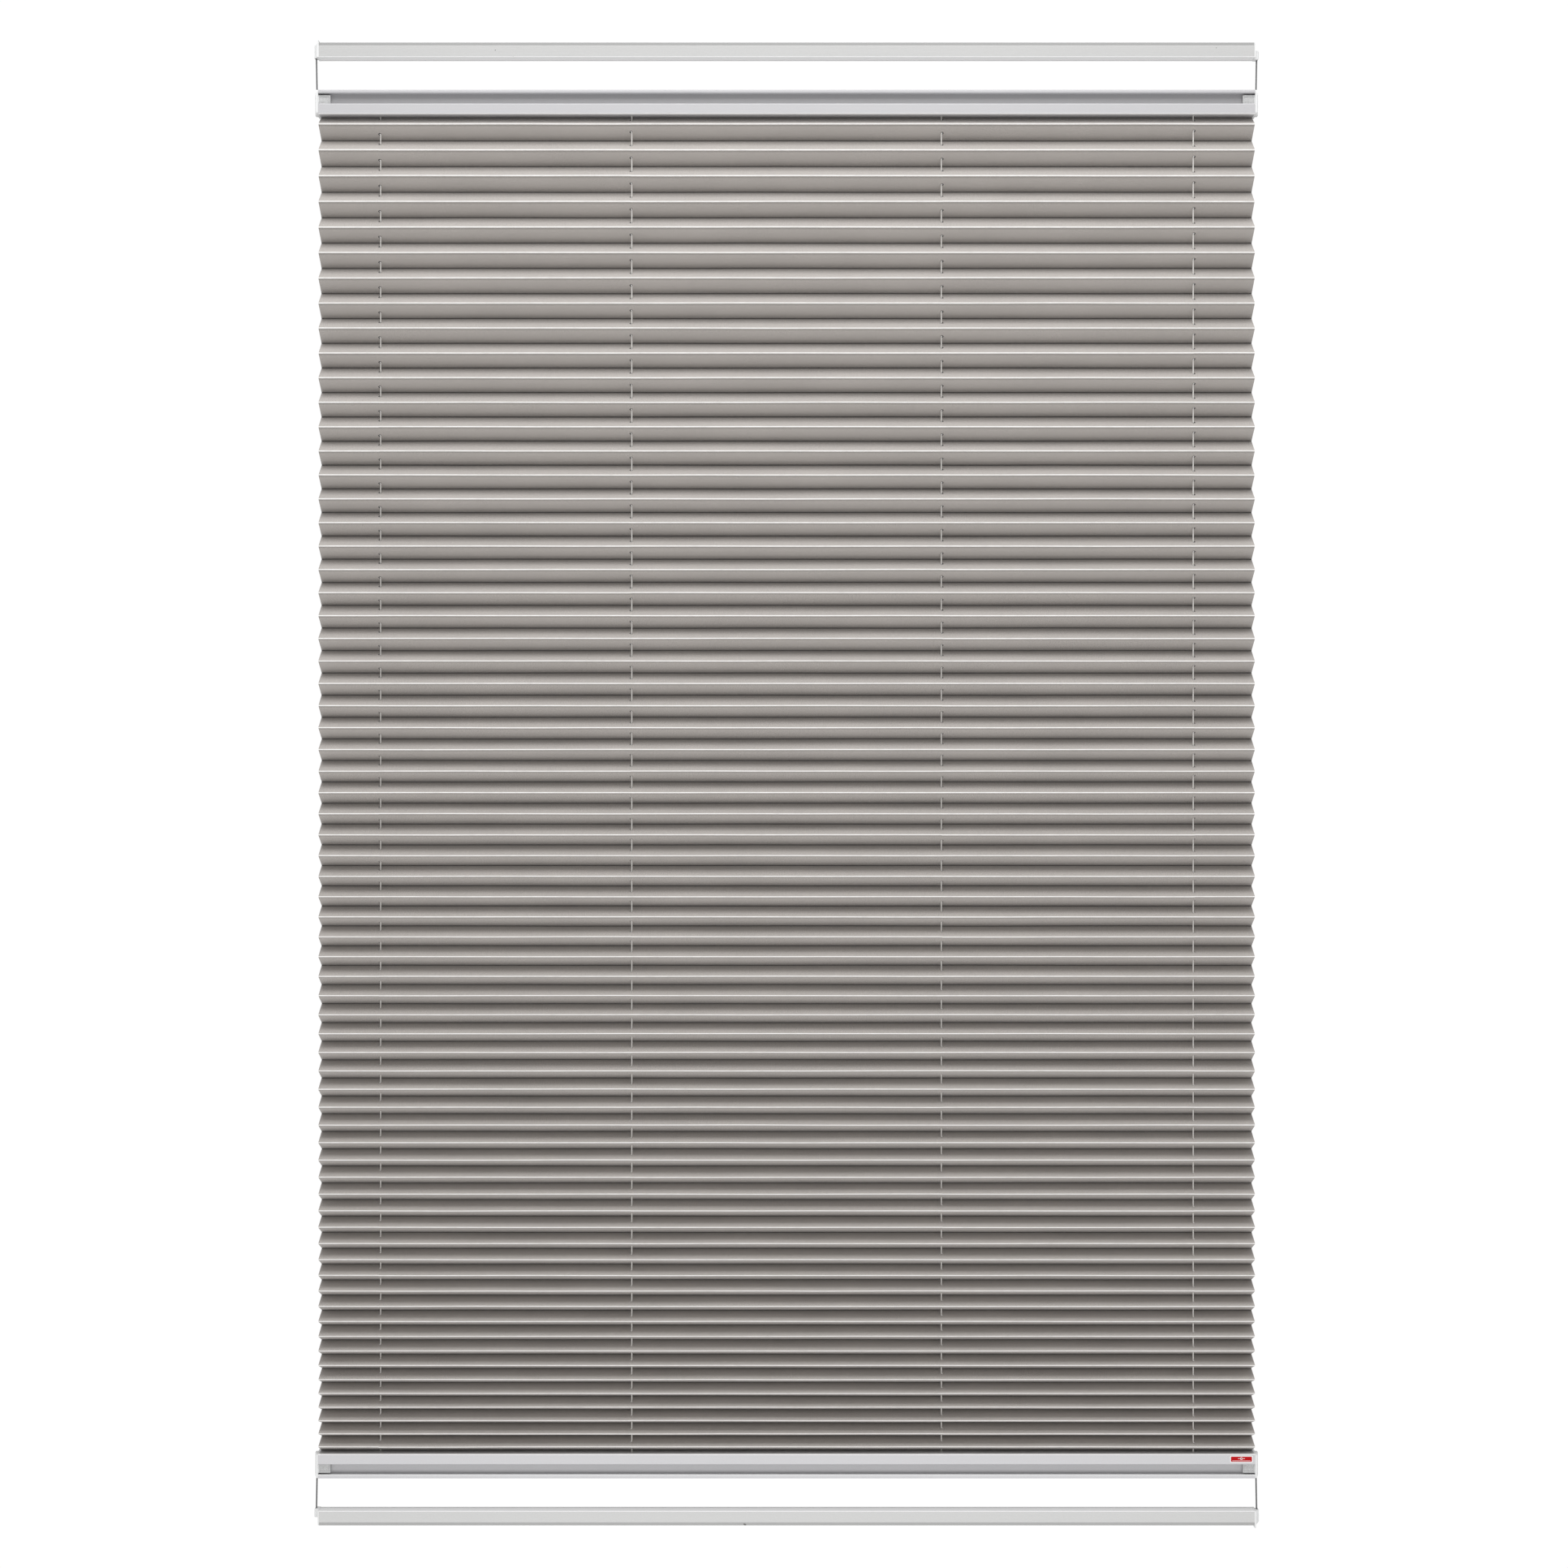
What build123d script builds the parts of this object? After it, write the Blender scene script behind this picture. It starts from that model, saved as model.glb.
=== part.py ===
from build123d import *

import os
from math import hypot, sqrt

# Pleated blind on tension cords, open at the top and the bottom. Millimetres, +Z up, the front faces -Y, +X
# to the right. The origin is the middle of the top rail's mounting face, so the blind hangs below Z = 0.

# ---- overall sizes ----
overall_height = 1300.0  # from the top rail's mounting face to the bottom rail's
rail_length = 820.0
side_gap = 29.5  # open height between a fixed rail and the handle rail next to it

# ---- fixed rails ----
fixed_height = 13.0
fixed_depth = 14.0
fixed_side_wall = 1.6
fixed_face_wall = 1.2  # on the mounting side
fixed_inner_wall = 1.8  # on the side that faces the handle rail
head_height = 2.8  # narrower part next to the mounting face
head_inset = 1.2
snap_groove_width = 1.4
snap_groove_depth = 1.0
snap_groove_from_rear = 1.4
fixed_edge_radius = 0.35
screw_hole_radius = 1.6
screw_margin = 150.0  # from the rail's end

# ---- handle rails ----
handle_height = 21.0
handle_depth = 22.0
handle_wall = 1.2
lip_height = 3.0
groove_height = 9.1
groove_depth = 6.0
handle_edge_radius = 0.8
handle_cord_level = 7.0  # below the rail's outer face
cloth_slot_width = 1.2
first_lane_from_chamber = 2.0  # the chamber's front to the first cord

# ---- end caps ----
plate_thickness = 1.8
thin_plate_thickness = 1.0
plate_corner_radius = 1.6
plug_length = 10.0
fit = 0.15  # clearance of a plastic piece in its rail
rib_beside_channel = 1.0
rib_wall = 0.4  # outside a cord's channel
tip_height = 2.2  # how far a tall cap stands past the mounting face
tip_inset = 0.4
tip_thickness = 0.8
knob_drop = 1.2  # how far the cord nose of a thin cap stands out of its rail
knob_above_channel = 0.6
knob_radius = 0.95
tab_length = 10.5
tab_gap = 1.6  # open space beside the lip
tab_setback = 2.0  # behind the rail's front
tab_rim = 1.0
tab_recess = 0.5

# ---- cords ----
cord_diameter = 1.0
cord_channel_clearance = 0.6
cord_bend_radius = 3.0
fixed_cord_beyond = 3.2  # the side cords run this far outside the fixed rails' ends
handle_cord_beyond = 2.4  # and a little closer at the handle rails
outer_column_margin = 53.0  # a column of cord holes, from the cloth's side
inner_column_margin = 274.0
lane_count = 4
lane_gap = 0.2  # between two crossing cords

# ---- pleated cloth ----
cloth_thickness = 0.3
panel_width = 20.0  # one fold to the next, measured along the cloth
mean_pitch = 17.55
pitch_ratio = 0.5  # the lowest pleat's height over the highest one's: the cloth's weight opens the top ones
pitch_power = 1.2
first_fold_drop = 8.3
last_fold_rise = 6.2
cloth_to_rail = 0.4
punch_diameter = 3.0
cloth_tab_margin = 12.0  # the tucked-in edge stops this far from the rail's end

# ---- cloth strips and cord guides ----
strip_width = 2.6
strip_height = 2.4
strip_groove_fit = 0.3  # wider than the cloth
strip_groove_depth = 1.8
strip_end_margin = 13.0
guide_length = 8.0
guide_beyond_lane = 1.6
guide_cord_gap = 0.5
guide_nose_wall = 0.75
guide_nose_fit = 0.3
strip_guide_gap = 0.3

# ---- tension springs, sliders, anchors and clamps ----
slider_from_end = 20.0
slider_length = 10.0
block_side_gap = 0.6
block_top_gap = 0.6
block_floor_gap = 0.2
cord_pocket_depth = 5.0
cord_end_gap = 1.0
boss_spring_gap = 0.3
boss_length = 3.0
spring_wire = 0.6
spring_mean_diameter = 4.6
spring_length = 40.0
spring_turns = 12
spring_end_gap = 0.1
anchor_length = 8.0
clamp_length = 12.0
clamp_screw_diameter = 3.0
clamp_screw_fit = 0.05
clamp_screw_length = 2.6
clamp_screw_socket = 1.5
clamp_screw_from_face = 9.0

# ---- sticker ----
label_length = 20.0
label_height = 6.1
label_thickness = 0.15
label_from_rail_end = 2.2
label_from_edge = 1.0
label_corner_radius = 0.9

# ---- fits worked out from the sizes above ----
cord_channel_diameter = cord_diameter + cord_channel_clearance
lane_spacing = cord_diameter + lane_gap
last_lane = (lane_count - 1) / 2 * lane_spacing
first_lane = -last_lane
rib_half_width = last_lane + cord_channel_diameter / 2 + rib_beside_channel
rib_beyond_cord = cord_channel_diameter / 2 + rib_wall
guide_half_depth = last_lane + guide_beyond_lane
guide_nose_diameter = cord_channel_diameter + 2 * guide_nose_wall
guide_hole_diameter = guide_nose_diameter + guide_nose_fit
strip_groove_width = cloth_thickness + strip_groove_fit
cloth_slot_y = guide_half_depth + strip_guide_gap + strip_width / 2
block_depth = fixed_depth - 2 * (fixed_side_wall + block_side_gap)
block_floor = fixed_height - fixed_inner_wall - block_floor_gap  # below the mounting face, as the next one
block_top = head_height + fixed_side_wall + block_top_gap
block_height = block_floor - block_top
fixed_cord_level = (block_floor + block_top) / 2
boss_diameter = spring_mean_diameter - spring_wire - 2 * boss_spring_gap

# ---- levels worked out from the sizes above ----
half_length = rail_length / 2
screw_x = half_length - screw_margin
fixed_cord_x = half_length + fixed_cord_beyond
handle_cord_x = half_length + handle_cord_beyond
outer_column_x = half_length - outer_column_margin
inner_column_x = half_length - inner_column_margin
middle_z = -overall_height / 2
middle_plane = Plane.XY.offset(middle_z)
upper_top_z = -(fixed_height + side_gap)
upper_bottom_z = upper_top_z - handle_height
lower_top_z = 2 * middle_z - upper_bottom_z
chamber_front_y = first_lane - first_lane_from_chamber
groove_back_y = chamber_front_y - handle_wall
front_y = groove_back_y - groove_depth
rear_y = front_y + handle_depth
handle_cord_z = upper_top_z - handle_cord_level
fixed_floor_z = -(fixed_height - fixed_inner_wall)
LEFT, RIGHT = -1, 1

# Each cord leaves a fixed rail at one side, crosses inside the handle rail to a column of holes on the other
# side, and comes back to its own side in the other handle rail. The lanes keep the crossing cords apart.
CORDS = {
    "cord_left_outer": (LEFT, outer_column_x, first_lane),
    "cord_right_inner": (RIGHT, -inner_column_x, first_lane + lane_spacing),
    "cord_left_inner": (LEFT, inner_column_x, first_lane + 2 * lane_spacing),
    "cord_right_outer": (RIGHT, -outer_column_x, first_lane + 3 * lane_spacing),
}


def mirrored(solid):
    """The same piece at the other end of the blind."""
    return mirror(solid, about=middle_plane)


def block(x0, x1, y0, y1, z0, z1):
    """A box from its corner values, in any order."""
    size = [abs(x1 - x0), abs(y1 - y0), abs(z1 - z0)]
    return Pos((x0 + x1) / 2, (y0 + y1) / 2, (z0 + z1) / 2) * Box(*size)


def upright(x, y, z, diameter, length):
    """A vertical cylinder around a centre."""
    return Pos(x, y, z) * Cylinder(diameter / 2, length)


def lying(x, y, z, diameter, length):
    """A cylinder along X around a centre."""
    return Pos(x, y, z) * Rot(0, 90, 0) * Cylinder(diameter / 2, length)


def along_x(outline, x0, x1):
    """A solid from x0 to x1 whose section is an outline of (y, z) points or a sketch on the YZ plane."""
    section = make_face(Polyline(*outline, close=True)) if isinstance(outline, list) else outline
    return extrude(Plane.YZ.offset(min(x0, x1)) * section, abs(x1 - x0))


def both_sides(half):
    """A closed (y, z) outline from its rear half, which is given from the top down."""
    return half + [(-y, z) for y, z in reversed(half)]


def round_edges_along_x(solid, radius, keep):
    """Round those straight edges along X whose middle passes keep."""
    edges = [e for e in solid.edges().filter_by(Axis.X) if keep(e.center())]
    return fillet(edges, radius)


def fixed_rail():
    """The top rail. The bottom rail is the same extrusion the other way up."""
    y_body, y_head = fixed_depth / 2, fixed_depth / 2 - head_inset
    outline = [(y_head, 0), (y_head, -head_height), (y_body, -head_height), (y_body, -fixed_height)]
    rail = along_x(both_sides(outline), -half_length, half_length)
    rail = round_edges_along_x(rail, fixed_edge_radius, lambda c: abs(c.Y) > y_head + fixed_edge_radius)
    y_in, y_in_head = y_body - fixed_side_wall, y_head - fixed_side_wall
    z_shoulder = -(head_height + fixed_side_wall)
    chamber = [(y_in_head, -fixed_face_wall), (y_in_head, z_shoulder), (y_in, z_shoulder)]
    chamber += [(y_in, fixed_floor_z)]
    rail -= along_x(both_sides(chamber), -half_length, half_length)
    groove_y = y_body - snap_groove_from_rear
    rail -= block(-half_length, half_length, groove_y - snap_groove_width, groove_y, -fixed_height,
                  -fixed_height + snap_groove_depth)
    for side in (LEFT, RIGHT):
        rail -= upright(side * screw_x, 0, -fixed_face_wall / 2, 2 * screw_hole_radius, 2 * fixed_face_wall)
    return rail


def handle_rail():
    """The upper handle rail: a finger groove in front, a chamber behind it and a slot for the cloth below."""
    front, rear, top, bottom = front_y, rear_y, upper_top_z, upper_bottom_z
    lip_z, shelf_z = top - lip_height, top - lip_height - groove_height
    outline = [(front, top), (rear, top), (rear, bottom), (front, bottom), (front, shelf_z)]
    outline += [(groove_back_y, shelf_z), (groove_back_y, lip_z), (front, lip_z)]
    rail = along_x(outline, -half_length, half_length)
    rail = round_edges_along_x(rail, handle_edge_radius, lambda c: not front + fit < c.Y < rear - fit)
    floor_z, ceiling_z, low_ceiling_z = bottom + handle_wall, top - handle_wall, shelf_z - handle_wall
    y_front, y_rear = front + handle_wall, rear - handle_wall
    chamber = [(y_front, floor_z), (y_front, low_ceiling_z), (chamber_front_y, low_ceiling_z)]
    chamber += [(chamber_front_y, ceiling_z), (y_rear, ceiling_z), (y_rear, floor_z)]
    rail -= along_x(chamber, -half_length, half_length)
    slot_front, slot_back = cloth_slot_y - cloth_slot_width / 2, cloth_slot_y + cloth_slot_width / 2
    rail -= block(-half_length, half_length, slot_front, slot_back, bottom, floor_z)
    for _, column, lane in CORDS.values():
        rail -= upright(column, lane, bottom + handle_wall / 2, guide_hole_diameter, 2 * handle_wall)
    return rail


def cord_path(side, column, lane):
    """The centre line of one cord, from its slider in the top rail to its clamp in the bottom rail."""
    end_x = side * (half_length - slider_from_end - cord_pocket_depth + cord_end_gap)
    upper = [(end_x, -fixed_cord_level), (side * fixed_cord_x, -fixed_cord_level)]
    upper += [(side * handle_cord_x, handle_cord_z), (column, handle_cord_z)]
    lower = [(x, 2 * middle_z - z) for x, z in reversed(upper)]
    lane_plane = Plane(origin=(0, lane, 0), x_dir=(1, 0, 0), z_dir=(0, -1, 0))
    return lane_plane * FilletPolyline(*upper, *lower, radius=cord_bend_radius)


def along_cord(cord, diameter):
    """A round bar that follows one cord's centre line."""
    path = cord_path(*cord)
    return sweep(Plane(origin=path @ 0, z_dir=path % 0) * Circle(diameter / 2), path=path)


CHANNELS = {name: along_cord(cord, cord_channel_diameter) for name, cord in CORDS.items()}


def with_channels(solid, side):
    """Cut the channels of the cords that belong to one side of the blind."""
    for name, cord in CORDS.items():
        if cord[0] == side:
            solid -= CHANNELS[name]
    return solid


def fixed_plug(side):
    """The plug of a fixed rail's end cap, with the chamber's outline less the fit."""
    y_in = fixed_depth / 2 - fixed_side_wall - fit
    y_in_head, z_shoulder = y_in - head_inset, -(head_height + fixed_side_wall + fit)
    outline = [(y_in_head, -(fixed_face_wall + fit)), (y_in_head, z_shoulder)]
    outline += [(y_in, z_shoulder), (y_in, fixed_floor_z + fit)]
    return along_x(both_sides(outline), side * (half_length - plug_length), side * half_length)


def tall_cap(side):
    """A fixed rail's end cap that stands past the mounting face and tapers to a thin tip."""
    y, inner, outer = fixed_depth / 2, half_length, half_length + plate_thickness
    cord_face = fixed_cord_x + rib_beyond_cord
    plate = [(inner, -fixed_height), (outer, -fixed_height), (outer, -head_height)]
    plate += [(inner + tip_inset + tip_thickness, tip_height), (inner + tip_inset, tip_height), (inner, 0)]
    rib = [(inner, -fixed_height), (cord_face, -fixed_height), (cord_face, -head_height)]
    rib += [(outer, 0), (inner, 0)]
    cap = fixed_plug(side)
    for outline, half_width in ((plate, y), (rib, rib_half_width)):
        face = Plane.XZ * make_face(Polyline(*[(side * x, z) for x, z in outline], close=True))
        cap += extrude(face, half_width, both=True)
    return with_channels(cap, side)


def thin_cap(side):
    """A fixed rail's flush end cap with a round nose where the cords leave it."""
    y, outer = fixed_depth / 2, half_length + thin_plate_thickness
    plate = block(side * half_length, side * outer, -y, y, -fixed_height, -head_height)
    plate += block(side * half_length, side * outer, head_inset - y, y - head_inset, -head_height, 0)
    nose_x = fixed_cord_x + rib_beyond_cord
    nose = block(side * half_length, side * nose_x, -rib_half_width, rib_half_width,
                 -fixed_height - knob_drop, knob_above_channel + cord_channel_diameter / 2 - fixed_cord_level)
    nose = fillet(nose.faces().sort_by(Axis.X)[-1 if side > 0 else 0].edges(), knob_radius)
    return with_channels(fixed_plug(side) + plate + nose, side)


def handle_cap(side):
    """The upper handle rail's end cap: plate, plug, cord rib and the tab that closes the groove's end."""
    inner, outer, middle = half_length, half_length + plate_thickness, (upper_top_z + upper_bottom_z) / 2
    plate = RectangleRounded(handle_depth, handle_height, plate_corner_radius)
    cap = along_x(Pos((front_y + rear_y) / 2, middle) * plate, side * inner, side * outer)
    plug_end = side * (inner - plug_length)
    cap += block(plug_end, side * inner, chamber_front_y + fit, rear_y - handle_wall - fit,
                 upper_bottom_z + handle_wall + fit, upper_top_z - handle_wall - fit)
    rib = Pos(0, middle) * RectangleRounded(2 * rib_half_width, handle_height, plate_corner_radius)
    cap += along_x(rib, side * inner, side * (handle_cord_x + rib_beyond_cord))
    tab_top, tab_bottom = upper_top_z - lip_height - tab_gap, upper_top_z - lip_height - groove_height + fit
    tab_front, tab_end = front_y + tab_setback, inner - tab_length
    tab = block(side * tab_end, side * inner, tab_front, groove_back_y - fit, tab_bottom, tab_top)
    recess_x = side * (tab_end + tab_rim), side * (inner - tab_rim / 2)
    tab -= block(*recess_x, tab_front, tab_front + tab_recess, tab_bottom + tab_rim / 2, tab_top - tab_rim)
    return with_channels(cap + tab, side)


def cord_guide(name):
    """The plastic guide that turns one cord from the crossing run down to the cloth."""
    _, column, lane = CORDS[name]
    floor_z = upper_bottom_z + handle_wall
    guide = block(column - guide_length / 2, column + guide_length / 2, -guide_half_depth, guide_half_depth,
                  floor_z, handle_cord_z - cord_diameter / 2 - guide_cord_gap)
    guide += upright(column, lane, floor_z - handle_wall / 2, guide_nose_diameter, handle_wall)
    return guide - CHANNELS[name]


def cloth_strip():
    """The grooved strip that keeps the cloth's edge inside the upper handle rail."""
    floor_z, x = upper_bottom_z + handle_wall + fit, half_length - strip_end_margin
    front, groove_front = cloth_slot_y - strip_width / 2, cloth_slot_y - strip_groove_width / 2
    strip = block(-x, x, front, front + strip_width, floor_z, floor_z + strip_height)
    return strip - block(-x, x, groove_front, groove_front + strip_groove_width, floor_z,
                         floor_z + strip_groove_depth)


def fold_line():
    """The folds from top to bottom as (y, z): front folds and back folds in turn."""
    first_z, last_z = upper_bottom_z - first_fold_drop, lower_top_z + last_fold_rise
    count = round((first_z - last_z) / mean_pitch)
    shape = [1 - (1 - pitch_ratio) * (i / (count - 1)) ** pitch_power for i in range(count)]
    scale = (first_z - last_z) / sum(shape)
    points, z = [], first_z
    for share in shape:
        half = share * scale / 2
        reach = sqrt(panel_width ** 2 - half ** 2) / 2
        points += [(-reach, z), (reach, z - half)]
        z -= 2 * half
    return points + [(-reach, last_z)]


def thickened(folds, thickness):
    """The outline of a folded sheet around its middle line: every fold is moved along Y to both sides."""
    front, back = [], []
    for i, (y, z) in enumerate(folds):
        before, after = folds[max(i - 1, 0)], folds[min(i + 1, len(folds) - 1)]
        along = hypot(y - before[0], z - before[1]) + hypot(after[0] - y, after[1] - z)
        reach = thickness / 2 * along / (before[1] - after[1])
        front.append((y - reach, z))
        back.append((y + reach, z))
    return front + back[::-1]


def pleated_cloth():
    """One folded sheet, with its two edges turned into the handle rails and its columns of punched holes."""
    start_z = upper_bottom_z - cloth_to_rail
    folds = [(cloth_slot_y, start_z)] + fold_line() + [(cloth_slot_y, 2 * middle_z - start_z)]
    cloth = along_x(thickened(folds, cloth_thickness), -half_length, half_length)
    x, half = half_length - cloth_tab_margin, cloth_thickness / 2
    tab_top = upper_bottom_z + handle_wall + strip_groove_depth
    tab = block(-x, x, cloth_slot_y - half, cloth_slot_y + half, start_z - half, tab_top)
    cloth += tab
    cloth += mirrored(tab)
    hole_length = upper_bottom_z - lower_top_z - 2 * fit
    for _, column, lane in CORDS.values():
        cloth -= upright(column, lane, middle_z, punch_diameter, hole_length)
    return cloth


def rail_block(side, from_end, length):
    """A plastic block that sits on the floor of a fixed rail's chamber."""
    x = side * (half_length - from_end)
    floor = fixed_floor_z + block_floor_gap
    return block(x, x - side * length, -block_depth / 2, block_depth / 2, floor, floor + block_height)


def with_cord_pockets(solid, side, from_end):
    """Blind holes that hold the two cord ends of one side."""
    x = side * (half_length - from_end)
    for cord_side, _, lane in CORDS.values():
        if cord_side == side:
            middle_x = x - side * cord_pocket_depth / 2
            solid -= lying(middle_x, lane, -fixed_cord_level, cord_channel_diameter, cord_pocket_depth)
    return solid


def boss(x, towards):
    """A round boss that the spring's end turns on, standing out of a block's face at x."""
    return lying(x + towards * boss_length / 2, 0, -fixed_cord_level, boss_diameter, boss_length)


def tension_slider(side):
    """Holds two cord ends and pulls them inwards along the top rail."""
    slider = with_cord_pockets(rail_block(side, slider_from_end, slider_length), side, slider_from_end)
    return slider + boss(side * (half_length - slider_from_end - slider_length), -side)


def spring_start_x(side):
    return side * (half_length - slider_from_end - slider_length - spring_end_gap - spring_wire / 2)


def tension_spring(side):
    """The coil spring between a slider and its anchor."""
    x = spring_start_x(side)
    length = spring_length - spring_wire
    coil = Helix(pitch=length / spring_turns, height=length, radius=spring_mean_diameter / 2)
    section = Plane(origin=coil @ 0, z_dir=coil % 0) * Circle(spring_wire / 2)
    wire = sweep(section, path=coil, is_frenet=True)
    return Pos(x, 0, -fixed_cord_level) * Rot(0, -side * 90, 0) * wire


def spring_anchor(side):
    """The block fixed in the top rail that the spring pulls on."""
    x_face = spring_start_x(side) - side * (spring_length - spring_wire / 2 + spring_end_gap)
    anchor = rail_block(side, half_length - abs(x_face), anchor_length)
    return anchor + boss(x_face, side)


def in_clamp_hole(side, diameter):
    """A cylinder in the place of a clamp's screw."""
    x = side * (half_length - slider_from_end - clamp_screw_from_face)
    top = fixed_floor_z + block_floor_gap + block_height
    return upright(x, 0, top - clamp_screw_length / 2, diameter, clamp_screw_length)


def cord_clamp(side):
    """The block in the bottom rail that holds the other two cord ends. Built in the top rail's place."""
    clamp = with_cord_pockets(rail_block(side, slider_from_end, clamp_length), side, slider_from_end)
    return clamp - in_clamp_hole(side, clamp_screw_diameter + 2 * clamp_screw_fit)


def clamp_screw(side):
    """The headless screw that fixes a cord clamp in its rail."""
    screw = in_clamp_hole(side, clamp_screw_diameter)
    socket = extrude(RegularPolygon(clamp_screw_socket / 2, 6), clamp_screw_length / 2)
    return screw - Pos(screw.center()) * socket


def sticker():
    """The small label on the lower handle rail's face, near its right end."""
    x = half_length - label_from_rail_end - label_length / 2
    z = lower_top_z - label_from_edge - label_height / 2
    front = Plane(origin=(x, front_y, z), x_dir=(1, 0, 0), z_dir=(0, -1, 0))
    return extrude(front * RectangleRounded(label_length, label_height, label_corner_radius), label_thickness)


def rail_pieces():
    """The rails and the cloth strips, each in its upper and its lower place."""
    rail, handle, strip = fixed_rail(), handle_rail(), cloth_strip()
    pieces = {"top_rail": rail, "bottom_rail": mirrored(rail)}
    pieces |= {"upper_handle_rail": handle, "lower_handle_rail": mirrored(handle)}
    return pieces | {"upper_cloth_strip": strip, "lower_cloth_strip": mirrored(strip)}


def side_pieces(side, word):
    """The end caps of one side and what holds its cords inside the fixed rails."""
    cap = handle_cap(side)
    return {
        f"upper_cap_{word}": cap,
        f"lower_cap_{word}": mirrored(cap),
        f"tension_slider_{word}": tension_slider(side),
        f"tension_spring_{word}": tension_spring(side),
        f"spring_anchor_{word}": spring_anchor(side),
        f"cord_clamp_{word}": mirrored(cord_clamp(side)),
        f"clamp_screw_{word}": mirrored(clamp_screw(side)),
    }


def cord_pieces():
    """The cords and their guides in both handle rails."""
    pieces = {}
    for name, cord in CORDS.items():
        place, guide = name.removeprefix("cord_"), cord_guide(name)
        pieces[name] = along_cord(cord, cord_diameter)
        pieces[f"upper_guide_{place}"] = guide
        pieces[f"lower_guide_{place}"] = mirrored(guide)
    return pieces


def all_pieces():
    """Every piece of the blind by its name."""
    pieces = rail_pieces() | side_pieces(LEFT, "left") | side_pieces(RIGHT, "right") | cord_pieces()
    pieces |= {"top_cap_left": tall_cap(LEFT), "top_cap_right": thin_cap(RIGHT)}
    pieces |= {"bottom_cap_left": mirrored(thin_cap(LEFT)), "bottom_cap_right": mirrored(tall_cap(RIGHT))}
    return pieces | {"pleated_cloth": pleated_cloth(), "label_sticker": sticker()}


os.makedirs("parts", exist_ok=True)
for node, piece in all_pieces().items():
    export_step(piece, f"parts/{node}.step")
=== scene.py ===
"""The looks of a pleated blind on tension cords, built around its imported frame.

The blind hangs between two fixed rails. Two handle rails slide on the cords and carry a pleated cloth
between them. Metres, +Z up, the front faces -Y.
"""

from __future__ import annotations

import logging
import math
from collections.abc import Callable
from dataclasses import dataclass
from enum import Enum
from typing import Any

import bpy
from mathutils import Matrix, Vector

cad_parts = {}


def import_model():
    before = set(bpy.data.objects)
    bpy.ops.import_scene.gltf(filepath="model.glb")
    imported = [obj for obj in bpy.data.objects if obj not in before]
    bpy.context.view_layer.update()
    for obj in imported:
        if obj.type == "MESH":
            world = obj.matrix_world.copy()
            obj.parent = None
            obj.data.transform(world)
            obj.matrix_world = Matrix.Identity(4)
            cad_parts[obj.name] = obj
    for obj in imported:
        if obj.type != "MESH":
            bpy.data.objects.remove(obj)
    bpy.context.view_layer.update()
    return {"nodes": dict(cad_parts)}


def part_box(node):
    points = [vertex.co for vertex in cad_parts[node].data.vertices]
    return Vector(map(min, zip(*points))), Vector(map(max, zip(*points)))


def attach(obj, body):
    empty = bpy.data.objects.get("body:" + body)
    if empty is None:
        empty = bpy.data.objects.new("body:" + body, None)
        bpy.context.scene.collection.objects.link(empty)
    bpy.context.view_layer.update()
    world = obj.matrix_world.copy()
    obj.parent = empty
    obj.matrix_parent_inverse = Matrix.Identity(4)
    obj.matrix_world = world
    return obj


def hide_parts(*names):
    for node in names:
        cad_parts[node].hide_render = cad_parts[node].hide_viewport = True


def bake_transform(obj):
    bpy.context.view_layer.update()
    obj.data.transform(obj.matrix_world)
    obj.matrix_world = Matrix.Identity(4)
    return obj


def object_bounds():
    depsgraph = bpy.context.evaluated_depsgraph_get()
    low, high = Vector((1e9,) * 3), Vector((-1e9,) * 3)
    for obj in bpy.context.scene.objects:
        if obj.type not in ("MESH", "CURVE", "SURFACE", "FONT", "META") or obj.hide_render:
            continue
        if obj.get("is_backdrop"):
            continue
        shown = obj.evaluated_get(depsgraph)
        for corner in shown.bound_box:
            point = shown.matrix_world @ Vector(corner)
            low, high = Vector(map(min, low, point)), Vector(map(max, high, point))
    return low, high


LOG = logging.getLogger("pleated_blind")
UV_LAYER = "UVMap"
STRAND_LAYER = "strand"
PUNCH_OFFSET = 0.00025  # from a cord's middle out to the middle of its holes
HOLE_SHADE_SHIFT = 2.4  # how far out the painted shade of a hole lies, over the hole's own offset

Colour = tuple[float, float, float]
Point = tuple[float, float, float]
Material = bpy.types.Material
Piece = bpy.types.Object


class Body(str, Enum):
    """The bodies that pieces ride on."""

    FIXED = "fixed_frame"
    UPPER = "upper_handle"
    LOWER = "lower_handle"


class End(Enum):
    """The two ends of the blind."""

    UPPER = "upper"
    LOWER = "lower"

    @property
    def body(self) -> Body:
        """The handle body of this end."""
        return Body.UPPER if self is End.UPPER else Body.LOWER


class Stretch(Enum):
    """The stretches of a cord, from its fixed end to the middle of the cloth."""

    FIXED = "fixed"
    SIDE = "side"
    CROSSING = "crossing"
    COLUMN = "column"


class Slot(str, Enum):
    """The record's material slots of the cloth and the cord."""

    CLOTH = "pleated_cloth"
    CORD = "cord_thread"


# ------ Node trees ------


def picked(sockets: Any, key: int | str) -> Any:
    """Find a socket by its place, its identifier or its name.

    Args:
        sockets: A node's inputs or outputs.
        key: The socket's place, identifier or name.

    Returns:
        The socket. Where a name is used twice, the one that is switched on.
    """
    if isinstance(key, int):
        return sockets[key]
    for socket in sockets:
        if socket.identifier == key:
            return socket
    return next(socket for socket in sockets if socket.name == key and socket.enabled)


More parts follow.
